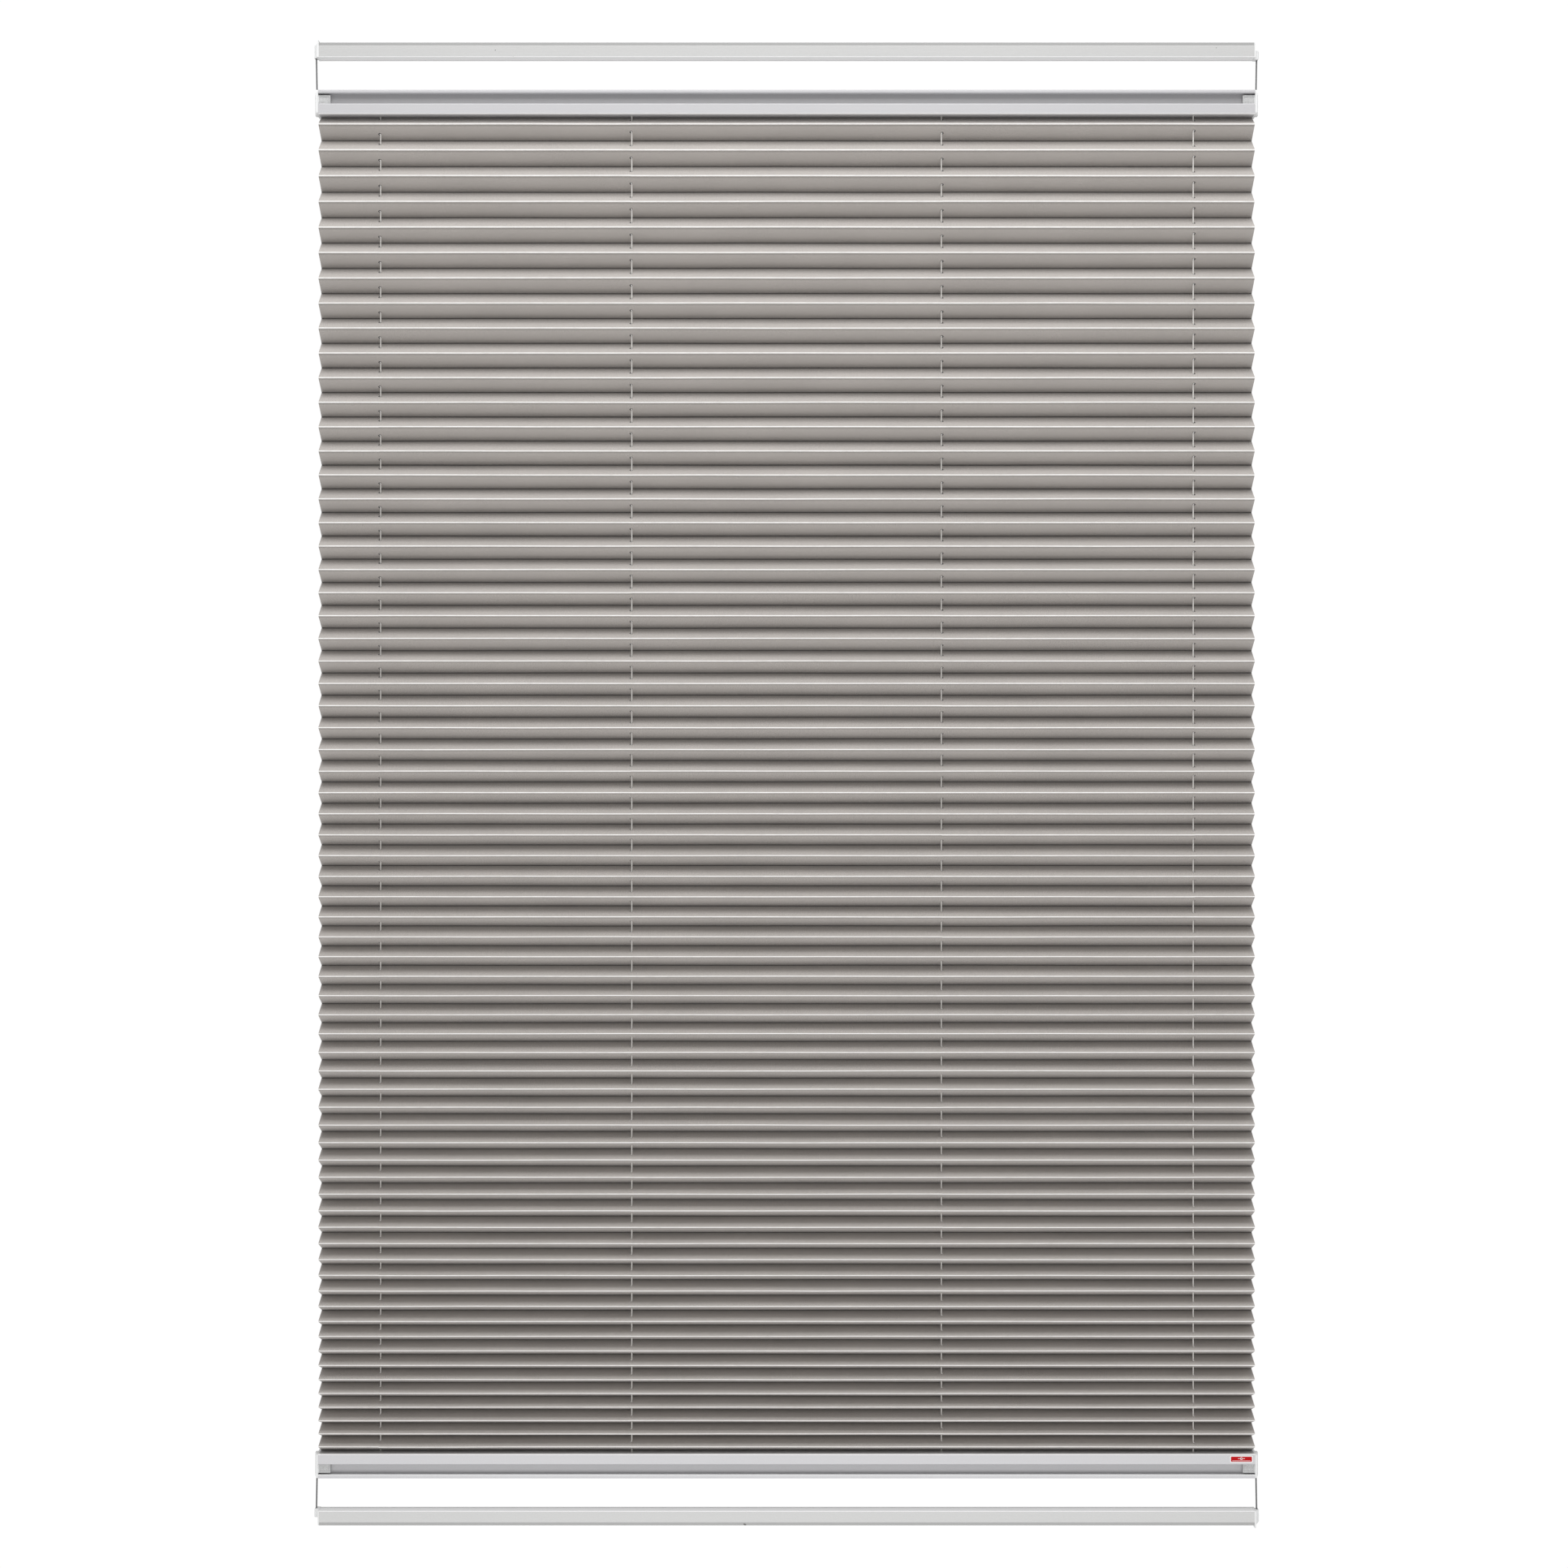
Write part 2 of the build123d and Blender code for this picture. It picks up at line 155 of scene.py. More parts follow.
def math_method(operation: str, reflected: bool = False) -> Callable[..., Value]:
    """A method of Value that adds one Math node.

    Args:
        operation: The node's operation.
        reflected: Whether the other value is the node's first input.

    Returns:
        The method.
    """

    def method(value: Value, *others: Any) -> Value:
        """Add the node to the value's tree."""
        given = (*others, value) if reflected else (value, *others)
        return value.graph.math(operation, *given)

    return method


class Value:
    """One output of a node. Arithmetic on it adds Math nodes to its tree."""

    def __init__(self, graph: Graph, node: bpy.types.Node, key: int | str = 0) -> None:
        """Wrap an output.

        Args:
            graph: The graph that the node is in.
            node: The node.
            key: The output's place, identifier or name.
        """
        self.graph = graph
        self.node = node
        self.socket = picked(node.outputs, key)

    def output(self, key: int | str) -> Value:
        """Another output of the same node."""
        return Value(self.graph, self.node, key)

    def math(self, operation: str, *others: Any) -> Value:
        """The result of a Math node whose first input is this value."""
        return self.graph.math(operation, self, *others)

    __add__ = __radd__ = math_method("ADD")
    __sub__ = math_method("SUBTRACT")
    __rsub__ = math_method("SUBTRACT", reflected=True)
    __mul__ = __rmul__ = math_method("MULTIPLY")
    __truediv__ = math_method("DIVIDE")
    __pow__ = math_method("POWER")
    __mod__ = math_method("FLOORED_MODULO")
    __lt__ = math_method("LESS_THAN")
    __gt__ = math_method("GREATER_THAN")
    __abs__ = math_method("ABSOLUTE")
    floor = math_method("FLOOR")
    rounded = math_method("ROUND")
    sine = math_method("SINE")
    root = math_method("SQRT")
    at_least = math_method("MAXIMUM")
    at_most = math_method("MINIMUM")

    def rising(self, low: float, high: float) -> Value:
        """A smooth step from 0 to 1.

        Args:
            low: Where it is still 0.
            high: Where it is 1.

        Returns:
            The step.
        """
        settings = {"interpolation_type": "SMOOTHSTEP"}
        inputs = {"Value": self, "From Min": low, "From Max": high}
        return self.graph.node("ShaderNodeMapRange", settings, inputs)

    def falling(self, low: float, high: float) -> Value:
        """A smooth step from 1 at low to 0 at high."""
        return 1 - self.rising(low, high)

    def xyz(self) -> tuple[Value, Value, Value]:
        """The three parts of this vector."""
        parts = self.graph.node("ShaderNodeSeparateXYZ", inputs={0: self})
        return parts, parts.output(1), parts.output(2)


class Graph:
    """Adds nodes to one node tree and links them."""

    def __init__(self, tree: bpy.types.NodeTree) -> None:
        """Wrap a tree."""
        self.tree = tree

    def feed(self, node: bpy.types.Node, key: int | str, given: Any) -> None:
        """Link a value to a node's input, or set the input to a constant.

        Args:
            node: The node.
            key: The input's place, identifier or name.
            given: A value of this graph, or a constant.
        """
        socket = picked(node.inputs, key)
        if isinstance(given, Value):
            self.tree.links.new(given.socket, socket)
        else:
            socket.default_value = given

    def node(
        self,
        kind: str,
        settings: dict[str, Any] | None = None,
        inputs: dict[int | str, Any] | None = None,
        output: int | str = 0,
    ) -> Value:
        """Add a node.

        Args:
            kind: The node's type.
            settings: Its settings, which are set first.
            inputs: The values or constants of its sockets.
            output: The output that is returned.

        Returns:
            The output, from which the others can be reached.
        """
        node = self.tree.nodes.new(kind)
        for name, setting in (settings or {}).items():
            setattr(node, name, setting)
        for key, given in (inputs or {}).items():
            self.feed(node, key, given)
        return Value(self, node, output)

    def math(self, operation: str, *given: Any) -> Value:
        """The result of a Math node. Its inputs are values or numbers."""
        return self.node("ShaderNodeMath", {"operation": operation}, dict(enumerate(given)))

    def vector(self, x: Any = 0.0, y: Any = 0.0, z: Any = 0.0) -> Value:
        """A vector from its three parts."""
        return self.node("ShaderNodeCombineXYZ", inputs={0: x, 1: y, 2: z})

    def noise(self, place: Value, scale: float, detail: float = 2.0, roughness: float = 0.5) -> Value:
        """Noise from 0 to 1, by its features per metre and octaves. Its Color output holds three of them."""
        inputs = {"Vector": place, "Scale": scale, "Detail": detail, "Roughness": roughness}
        return self.node("ShaderNodeTexNoise", inputs=inputs)

    def mixed(self, factor: Any, first: Any, second: Any) -> Value:
        """A colour between two colours.

        Args:
            factor: 0 for the first, 1 for the second.
            first: A colour, as a value or three numbers.
            second: A colour, as a value or three numbers.

        Returns:
            The colour.
        """
        ends = [c if isinstance(c, Value) else (*c, 1.0) for c in (first, second)]
        inputs = {"Factor_Float": factor, "A_Color": ends[0], "B_Color": ends[1]}
        return self.node("ShaderNodeMix", {"data_type": "RGBA"}, inputs, "Result_Color")


class Shader(Graph):
    """A material with one Principled surface."""

    def __init__(self, name: str, roughness: float, **constants: Any) -> None:
        """Start a material.

        Args:
            name: The material's name.
            roughness: Its roughness.
            **constants: Other sockets of the surface, with underscores for spaces.
        """
        self.material = bpy.data.materials.new(name)
        self.material.use_nodes = True
        super().__init__(self.material.node_tree)
        self.tree.nodes.clear()
        sockets = {key.replace("_", " "): given for key, given in constants.items()}
        surface = self.node("ShaderNodeBsdfPrincipled", inputs={"Roughness": roughness, **sockets})
        self.surface = surface.node
        output = self.tree.nodes.new("ShaderNodeOutputMaterial")
        self.tree.links.new(surface.socket, output.inputs["Surface"])

    def place(self) -> Value:
        """The point on the piece, in metres."""
        return self.node("ShaderNodeTexCoord", output="Object")

    def colour(self, colour: Any) -> None:
        """Set the surface's colour to a value or three numbers."""
        self.feed(self.surface, "Base Color", colour if isinstance(colour, Value) else (*colour, 1.0))

    def roughness(self, value: Value) -> None:
        """Link the surface's roughness."""
        self.feed(self.surface, "Roughness", value)

    def bump(self, height: Value, distance: float) -> None:
        """Raise the surface by a height from 0 to 1, where 1 is the distance in metres."""
        inputs = {"Height": height, "Distance": distance}
        self.feed(self.surface, "Normal", self.node("ShaderNodeBump", inputs=inputs))


class GeometryTree(Graph):
    """A Geometry Nodes tree with named sizes."""

    def __init__(self, name: str, sizes: dict[str, str]) -> None:
        """Start a tree.

        Args:
            name: The tree's name.
            sizes: The type of each named input.
        """
        super().__init__(bpy.data.node_groups.new(name, "GeometryNodeTree"))
        face = self.tree.interface
        face.new_socket("Geometry", in_out="INPUT", socket_type="NodeSocketGeometry")
        face.new_socket("Geometry", in_out="OUTPUT", socket_type="NodeSocketGeometry")
        self.identifiers = {
            label: face.new_socket(label, in_out="INPUT", socket_type=f"NodeSocket{kind}").identifier
            for label, kind in {**sizes, "Finish": "Material"}.items()
        }
        self.entry = self.tree.nodes.new("NodeGroupInput")

    def size(self, label: str) -> Value:
        """A named input."""
        return Value(self, self.entry, label)

    def close(self, geometry: Value) -> None:
        """End the tree with plain geometry in its finish.

        Args:
            geometry: What the tree has made.
        """
        plain = self.node("GeometryNodeRealizeInstances", inputs={"Geometry": geometry})
        inputs = {"Geometry": plain, "Material": self.size("Finish")}
        dressed = self.node("GeometryNodeSetMaterial", inputs=inputs)
        self.tree.links.new(dressed.socket, self.tree.nodes.new("NodeGroupOutput").inputs[0])

    def store(self, geometry: Value, name: str, kind: str, domain: str, value: Value) -> Value:
        """Keep a field as an attribute.

        Args:
            geometry: The geometry.
            name: The attribute's name.
            kind: Its data type.
            domain: Its domain.
            value: The field.

        Returns:
            The geometry with the attribute.
        """
        settings = {"data_type": kind, "domain": domain}
        inputs = {"Geometry": geometry, "Name": name, "Value": value}
        return self.node("GeometryNodeStoreNamedAttribute", settings, inputs)

    def run_on(self, piece: Piece, sizes: dict[str, Any]) -> None:
        """Add the tree to a piece as a modifier.

        Args:
            piece: The piece.
            sizes: A value for each named input.
        """
        modifier = piece.modifiers.new(self.tree.name, "NODES")
        modifier.node_group = self.tree
        for label, value in sizes.items():
            modifier[self.identifiers[label]] = value


def placed(name: str, data: Any) -> Piece:
    """Add an object to the scene.

    Args:
        name: Its name.
        data: Its mesh, camera or light.

    Returns:
        The object.
    """
    thing = bpy.data.objects.new(name, data)
    bpy.context.scene.collection.objects.link(thing)
    return thing


def new_piece(name: str, points: list[Point] | None = None) -> Piece:
    """Make a piece whose mesh is a chain of edges, or empty.

    Args:
        name: The piece's name.
        points: The chain's points.

    Returns:
        The piece, in the scene.
    """
    points = points or []
    mesh = bpy.data.meshes.new(name)
    mesh.from_pydata(points, [(i, i + 1) for i in range(len(points) - 1)], [])
    return placed(name, mesh)


def made_plain(piece: Piece) -> None:
    """Turn what a piece's modifiers make into its own mesh.

    Args:
        piece: The piece.
    """
    bpy.context.view_layer.update()
    graph = bpy.context.evaluated_depsgraph_get()
    final = bpy.data.meshes.new_from_object(
        piece.evaluated_get(graph), preserve_all_data_layers=True, depsgraph=graph
    )
    rough = piece.data
    piece.modifiers.clear()
    piece.data = final
    bpy.data.meshes.remove(rough)
    final.name = piece.name


# ------ Finishes ------


def toned(colour: Colour, share: float) -> Colour:
    """A colour made darker, or lighter up to white."""
    return tuple(min(1.0, part * share) for part in colour)


@dataclass(frozen=True)
class SatinAluminium:
    """A coated aluminium extrusion with faint drawing lines along its length."""

    name: str
    colour: Colour
    metallic: float = 0.25
    roughness: float = 0.42
    marks: tuple[tuple[Point, float], ...] = ()
    highlight_levels: tuple[float, ...] = ()
    highlight_before: float = -0.0065
    highlight_width: float = 0.0006
    groove: tuple[float, float] | None = None
    groove_shade_share: float = 0.45
    speck: Colour = (0.05, 0.045, 0.04)

    def build(self) -> Material:
        """Make the material.

        Returns:
            The material, with the small dark marks at their places, a painted white highlight along the edges
            at the highlight levels, and painted shade on the wall between the two depths of the groove.
        """
        shader = Shader(self.name, self.roughness, Metallic=self.metallic)
        place = shader.place()
        x, y, z = place.xyz()
        lines = shader.noise(shader.vector(x * 3, y * 900, z * 900), 1.0, 3.0)
        grain = shader.noise(place, 900.0)
        cloud = shader.noise(place, 9.0)
        light = toned(self.colour, 1.05)
        dark = toned(self.colour, 0.95)
        tone = shader.mixed(grain * 0.55 + lines * 0.25 + cloud * 0.2, dark, light)
        for (mx, my, mz), radius in self.marks:
            away = ((x - mx) ** 2 + (y - my) ** 2 + (z - mz) ** 2).root()
            tone = shader.mixed(away.falling(radius * 0.6, radius), tone, self.speck)
        # Painted shade: the wall between the groove's two depths is darkened halfway towards a dark copy of
        # the colour.
        if self.groove:
            inside = (y > self.groove[0]) * (y < self.groove[1])
            tone = shader.mixed(inside * 0.5, tone, toned(self.colour, self.groove_shade_share))
        # Painted highlight: near-white colour along each highlight level, in front of highlight_before; the
        # metallic stays as it is.
        for level in self.highlight_levels:
            near = abs(z - level).falling(self.highlight_width - 0.0002, self.highlight_width)
            edge = near * (y < self.highlight_before)
            tone = shader.mixed(edge, tone, (1.0, 1.0, 1.0))
        shader.colour(tone)
        shader.roughness(self.roughness - 0.06 + lines * 0.08 + cloud * 0.05)
        shader.bump(lines * 0.6 + grain * 0.4, 0.00003)
        return shader.material


@dataclass(frozen=True)
class MouldedPlastic:
    """Moulded plastic with a fine spark-eroded grain."""

    name: str
    colour: Colour
    roughness: float = 0.5
    grain: float = 0.00004
    recess: tuple[float, float] | None = None

    def build(self) -> Material:
        """Make the material.

        Returns:
            The material. It is darker and coarser in the recess: nearer the middle than its first number and
            deeper than its second.
        """
        shader = Shader(self.name, self.roughness)
        place = shader.place()
        grain = shader.noise(place, 1800.0)
        cloud = shader.noise(place, 60.0)
        light = toned(self.colour, 1.06)
        dark = toned(self.colour, 0.92)
        tone = shader.mixed(grain * 0.6 + cloud * 0.4, dark, light)
        if self.recess:
            x, y, _ = place.xyz()
            inside = (abs(x) < self.recess[0]) * (y > self.recess[1])
            coarse = shader.noise(place, 1600.0, 3.0).rising(0.35, 0.65)
            stipple = shader.mixed(coarse, toned(self.colour, 0.56), toned(self.colour, 0.72))
            tone = shader.mixed(inside, tone, stipple)
        shader.colour(tone)
        shader.roughness(self.roughness - 0.05 + cloud * 0.1)
        shader.bump(grain, self.grain)
        return shader.material


@dataclass(frozen=True)
class BrightSteel:
    """Drawn or turned steel."""

    name: str
    colour: Colour = (0.56, 0.56, 0.58)
    roughness: float = 0.3

    def build(self) -> Material:
        """Make the material.

        Returns:
            The material.
        """
        shader = Shader(self.name, self.roughness, Metallic=1.0)
        place = shader.place()
        drawn = shader.noise(place, 2600.0, 3.0)
        shader.colour(shader.mixed(drawn, toned(self.colour, 0.85), self.colour))
        shader.roughness(self.roughness - 0.05 + drawn * 0.15)
        shader.bump(drawn, 0.00001)
        return shader.material


@dataclass(frozen=True)
class CrepeCloth:
    """Stiff crepe cloth with heat-pressed folds. It reads the cloth's own length from its UV map."""

    name: str = "crepe_cloth"
    colour: Colour = (0.50, 0.47, 0.445)
    fold_highlight_colour: Colour = (0.97, 0.96, 0.94)
    panel: float = 0.020
    fold_width: float = 0.0007
    top: float = 0.0
    bottom: float = -1.3
    holes: tuple[tuple[float, float], ...] = ()
    hole_shade_radius: float = 0.0015
    glow: float = 0.16
    hole_shade_colour: Colour = (0.02, 0.018, 0.016)

    def build(self) -> Material:
        """Make the material.

        Returns:
            The material. Every second fold, at even multiples of the panel, is a front fold.
        """
        sheen = {"Sheen_Weight": 0.25, "Sheen_Roughness": 0.5}
        shader = Shader(self.name, 0.85, Specular_IOR_Level=0.25, Emission_Strength=self.glow, **sheen)
        uv = shader.node("ShaderNodeUVMap", {"uv_map": UV_LAYER})
        x, along, _ = uv.xyz()
        from_front = along.math("PINGPONG", self.panel)
        below_fold = (along % (2 * self.panel)) < self.panel
        crumple = shader.noise(uv, 1700.0, 3.0, 0.65)
        pores = shader.noise(shader.vector(x, along * 0.7, 0.013), 2600.0, 2.0)
        cloud = shader.noise(uv, 14.0, 3.0)
        dark = toned(self.colour, 0.62)
        light = toned(self.colour, 1.54)
        tone = shader.mixed((crumple * 0.68 + pores * 0.28 + cloud * 0.04).rising(0.33, 0.67), dark, light)
        # Painted shade: a dark line just below each front fold, darkening into each back fold, and a gentle
        # darkening over each panel towards the back.
        shade = from_front.rising(self.fold_width, 2 * self.fold_width)
        shade = shade * from_front.falling(3 * self.fold_width, 5 * self.fold_width) * below_fold
        crease_shade = from_front.rising(self.panel - 2.5 * self.fold_width, self.panel - 0.4 * self.fold_width)
        depth_shade = from_front.rising(0.0, self.panel) * 0.22
        shade_colour = toned(self.colour, 0.25)
        tone = shader.mixed((shade * 0.3 + crease_shade * 0.7 + depth_shade).at_most(1.0), tone, shade_colour)
        _, _, level = shader.place().xyz()
        height_share = (level - self.bottom) / (self.top - self.bottom)
        # Painted shade: a near-black disc around each hole stands for the shade seen through it, fading out
        # towards the bottom of the cloth.
        for hole_x, hole_along in self.holes:
            away = ((x - hole_x) ** 2 + (from_front - hole_along) ** 2).root()
            rim = away.falling(self.hole_shade_radius * 0.8, self.hole_shade_radius) * height_share.rising(0.15, 0.7)
            tone = shader.mixed(rim, tone, self.hole_shade_colour)
        # Painted highlight: the front folds turn near white in patches along each fold, and the same mask
        # drives a faint emission, a painted glow.
        fold = from_front.falling(0.5 * self.fold_width, 1.4 * self.fold_width)
        highlight_patches = shader.noise(shader.vector(x, (along / self.panel).rounded() * 0.31, 0.0), 110.0, 3.0, 0.65)
        fold = fold * (0.35 + crumple * 0.4 + highlight_patches * 0.75).at_most(1.0)
        shader.colour(shader.mixed(fold, tone, self.fold_highlight_colour))
        shader.feed(shader.surface, "Emission Color", shader.mixed(fold, (0.0, 0.0, 0.0), (1.0, 1.0, 1.0)))
        shader.roughness(0.78 + crumple * 0.15)
        shader.bump(crumple * 0.7 + pores * 0.3, 0.00018)
        return shader.material


@dataclass(frozen=True)
class SpunCord:
    """A cord of three strands laid together.

    It reads the place on the straightened cord from an attribute.
    """

    name: str
    colour: Colour
    shade: float = 0.55
    lay: float = 0.0032

    def build(self) -> Material:
        """Make the material.

        Returns:
            The material.
        """
        shader = Shader(self.name, 0.7, Sheen_Weight=0.2)
        settings = {"attribute_type": "GEOMETRY", "attribute_name": STRAND_LAYER}
        strand = shader.node("ShaderNodeAttribute", settings, output="Vector")
        across, up, along = strand.xyz()
        turn = up.math("ARCTAN2", across) * 3 + along * (2 * math.pi / self.lay)
        crown = turn.sine() * 0.5 + 0.5
        fibre = shader.noise(shader.vector(across * 0.5, up * 0.5, along * 1400), 2.2, 2.0)
        dark = toned(self.colour, self.shade)
        shader.colour(shader.mixed(crown * 0.75 + fibre * 0.25, dark, self.colour))
        shader.bump(crown * 0.8 + fibre * 0.2, 0.00012)
        return shader.material


@dataclass(frozen=True)
class StickerPrint:
    """A printed sticker: a red field with a white rim and a plain mark of one ring and bars."""

    middle: tuple[float, float]
    half: tuple[float, float]
    name: str = "sticker_print"
    rim: float = 0.0008
    corner: float = 0.0007
    red: Colour = (0.60, 0.002, 0.006)
    white: Colour = (0.92, 0.92, 0.92)
    mark_lift: float = 0.0005
    ring_radius: float = 0.00085
    bar_reach: float = 0.0022
    bar_half: tuple[float, float] = (0.0008, 0.00022)
    line_drop: float = 0.0014
    line_inset: float = 0.0012
    line_half: float = 0.00016
    mark_corner: float = 0.0001

    def inside(self, x: Value, z: Value, half: tuple[float, float], corner: float) -> Value:
        """1 inside a rounded rectangle around the middle, else 0.

        Args:
            x: The place across, from the rectangle's middle.
            z: The place up, from the rectangle's middle.
            half: Half its width and half its height.
            corner: Its corner radius.

        Returns:
            The mask.
        """
        out_x = (abs(x) - (half[0] - corner)).at_least(0.0)
        out_z = (abs(z) - (half[1] - corner)).at_least(0.0)
        return (out_x ** 2 + out_z ** 2).root().falling(corner * 0.9, corner * 1.1)

    def build(self) -> Material:
        """Make the material.

        Returns:
            The material.
        """
        shader = Shader(self.name, 0.5, Specular_IOR_Level=0.15)
        place = shader.place()
        x, _, z = place.xyz()
        x, z = x - self.middle[0], z - self.middle[1]
        field_half = (self.half[0] - self.rim, self.half[1] - self.rim)
        speck = shader.noise(place, 1500.0)
        red = shader.mixed(speck, toned(self.red, 0.8), self.red)
        tone = shader.mixed(self.inside(x, z, field_half, self.corner), self.white, red)
        from_ring = abs((x ** 2 + (z - self.mark_lift) ** 2).root() - self.ring_radius)
        ring = from_ring.falling(0.0002, 0.0003)
        tone = shader.mixed(ring, tone, self.white)
        for side in (-1, 1):
            bar_x, bar_z = x - side * self.bar_reach, z - self.mark_lift
            bar = self.inside(bar_x, bar_z, self.bar_half, self.mark_corner)
            tone = shader.mixed(bar, tone, self.white)
        line_half = (field_half[0] - self.line_inset, self.line_half)
        line = self.inside(x, z + self.line_drop, line_half, self.mark_corner)
        shader.colour(shader.mixed(line * 0.8, tone, self.white))
        shader.bump(speck, 0.00001)
        return shader.material


@dataclass(frozen=True)
class StudioPaint:
    """The plain pale paint of the floor."""

    name: str = "studio_paint"
    colour: Colour = (0.93, 0.93, 0.93)

    def build(self) -> Material:
        """Make the material.

        Returns:
            The material.
        """
        shader = Shader(self.name, 0.9)
        shader.colour(self.colour)
        return shader.material


# ------ Cloth ------


@dataclass
class Punch:
    """One column of punched holes."""

    x: float
    y: float
    offset: float

    @property
    def centre(self) -> float:
        """Where the holes' middles are across the cloth. The cord lies against one side of each hole."""
        return self.x + self.offset


@dataclass
class PleatedCloth:
    """The folded sheet between the handle rails, made as an upper and a lower half.

    The folds follow one rule: each pleat is a little lower than the one above it, because the cloth's own
    weight opens the highest pleats the most.
    """

    width: float = 0.820
    panel: float = 0.020
    thickness: float = 0.0003
    pitch_ratio: float = 0.5
    pitch_power: float = 1.2
    mean_pitch: float = 0.01755
    first_drop: float = 0.0083
    last_rise: float = 0.0062
    rail_gap: float = 0.0004
    slot_y: float = 0.005
    tab: float = 0.0034
    punch_radius: float = 0.00075
    edge: float = 0.0005
    roundness: float = 0.00015
    waver: float = 0.0005
    waver_up: float = 1.6
    waver_out: float = 3.0
    waver_scales: tuple[float, float] = (5.5, 3.31)
    columns: int = 65
    segments: int = 8
    lattice: int = 2
    seed: float = 4.7

    def __post_init__(self) -> None:
        """Work out the levels from the handle rails."""
        self.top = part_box("upper_handle_rail")[0].z
        self.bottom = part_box("lower_handle_rail")[1].z
        self.first_z = self.top - self.first_drop
        self.last_z = self.bottom + self.last_rise
        self.pleats = round((self.first_z - self.last_z) / self.mean_pitch)

    def fold_z(self, pleat: int) -> float:
        """The level of a pleat's front fold, by the pleat's number from the top."""
        shares = [self.share(i) for i in range(self.pleats)]
        return self.first_z - (self.first_z - self.last_z) * sum(shares[:pleat]) / sum(shares)

    def flat_place(self, y: float) -> float:
        """How far from the front fold a depth is on a panel of the middle pleat."""
        half = self.mean_pitch / 2
        return self.panel * (0.5 + y / math.sqrt(self.panel ** 2 - half ** 2))

    def share(self, pleat: int) -> float:
        """A pleat's height over the highest one's."""
        return 1 - (1 - self.pitch_ratio) * (pleat / (self.pleats - 1)) ** self.pitch_power

    @property
    def middle_pleat(self) -> int:
        """The pleat whose front fold is nearest the middle."""
        middle = (self.top + self.bottom) / 2
        return min(range(self.pleats), key=lambda i: abs(self.fold_z(i) - middle))

    def fold_line(self, tree: GeometryTree) -> Value:
        """The folds as a line of points: the tab, the slot, the folds in turn, the slot and the tab.

        Args:
            tree: The tree to add to.

        Returns:
            The line's geometry.
        """
        pleats, panel = tree.size("Pleats"), tree.size("Panel")
        step = tree.node("GeometryNodeInputIndex") - 2
        last = pleats * 2
        pitch = (step / 2).floor().at_least(0.0).at_most(pleats - 1)
        ratio, power = tree.size("Pitch Ratio"), tree.size("Pitch Power")
        share = (1 - (1 - ratio) * (pitch / (pleats - 1)) ** power) / 2
        before_last = (step > -0.5) * (step < last - 0.5)
        settings = {"data_type": "FLOAT", "domain": "POINT"}
        above = tree.node("GeometryNodeAccumulateField", settings, {0: share * before_last}, "Trailing")
        first_z, last_z = tree.size("First Fold"), tree.size("Last Fold")
        scale = (first_z - last_z) / above.output("Total")
        half = share * scale
        reach = (panel ** 2 - half ** 2).root() / 2
        is_fold = (step > -0.5) * (step < last + 0.5)
        y = is_fold * reach * ((step % 2) * 2 - 1) + (1 - is_fold) * tree.size("Slot Y")
        z = is_fold * (first_z - above * scale)
        top, bottom, tab = tree.size("Top"), tree.size("Bottom"), tree.size("Tab")
        z = z + (step < -0.5) * (top + (step < -1.5) * tab)
        z = z + (step > last + 0.5) * (bottom - (step > last + 1.5) * tab)
        line = tree.node("GeometryNodeMeshLine", inputs={"Count": last + 5})
        inputs = {"Geometry": line, "Position": tree.vector(0.0, y, z)}
        return tree.node("GeometryNodeSetPosition", inputs=inputs)

    def build_tree(self, punches: list[Punch]) -> GeometryTree:
        """The tree that folds a grid along the fold line and punches its holes.

        Args:
            punches: The columns of holes.

        Returns:
            The tree.
        """
        floats = ["Width", "Panel", "Pitch Ratio", "Pitch Power", "First Fold", "Last Fold", "Slot Y", "Top"]
        floats += ["Bottom", "Tab", "Punch Radius", "Edge", "Roundness", "Waver", "Seed"]
        floats += [f"Punch {i} {axis}" for i in range(len(punches)) for axis in "XY"]
        whole = ["Pleats", "Columns", "First Panel", "Last Panel"]
        tree = GeometryTree("pleating", {**dict.fromkeys(floats, "Float"), **dict.fromkeys(whole, "Int")})
        folds = self.fold_line(tree)
        size, columns, panel = tree.size, tree.size("Columns"), tree.size("Panel")
        rows = (size("Last Panel") - size("First Panel")) * self.segments + 1
        inputs = {"Size X": 1.0, "Size Y": 1.0, "Vertices X": columns, "Vertices Y": rows}
        grid = tree.node("GeometryNodeMeshGrid", inputs=inputs)
        gx, gy, _ = tree.node("GeometryNodeInputPosition").xyz()
        column = ((gx + 0.5) * (columns - 1)).rounded()
        row = ((0.5 - gy) * (rows - 1)).rounded()
        fold_before = (row / self.segments + 0.01).floor()
        k = row - fold_before * self.segments
        number = fold_before + size("First Panel")
        ends = []
        for index in (number, number + 1):
            settings = {"data_type": "FLOAT_VECTOR", "domain": "POINT", "clamp": True}
            inputs = {"Geometry": folds, "Value": tree.node("GeometryNodeInputPosition"), "Index": index}
            ends.append(tree.node("GeometryNodeSampleIndex", settings, inputs).xyz())
        (_, ya, za), (_, yb, zb) = ends
        length = ((ya - yb) ** 2 + (za - zb) ** 2).root().at_least(1e-6)
        is_long = length > 0.3 * self.panel
        rise = k - self.segments / 2
        in_rows = (abs(rise) < self.lattice + 0.5) * is_long
        step = size("Punch Radius") / self.lattice
        centre, x, opened, round_share = length / 2, gx * size("Width"), None, 1.0
        for i in range(len(punches)):
            hole_x, hole_y = size(f"Punch {i} X"), size(f"Punch {i} Y")
            nearest = ((hole_x / size("Width") + 0.5) * (columns - 1)).rounded()
            side = column - nearest
            near = abs(side) < self.lattice + 0.5
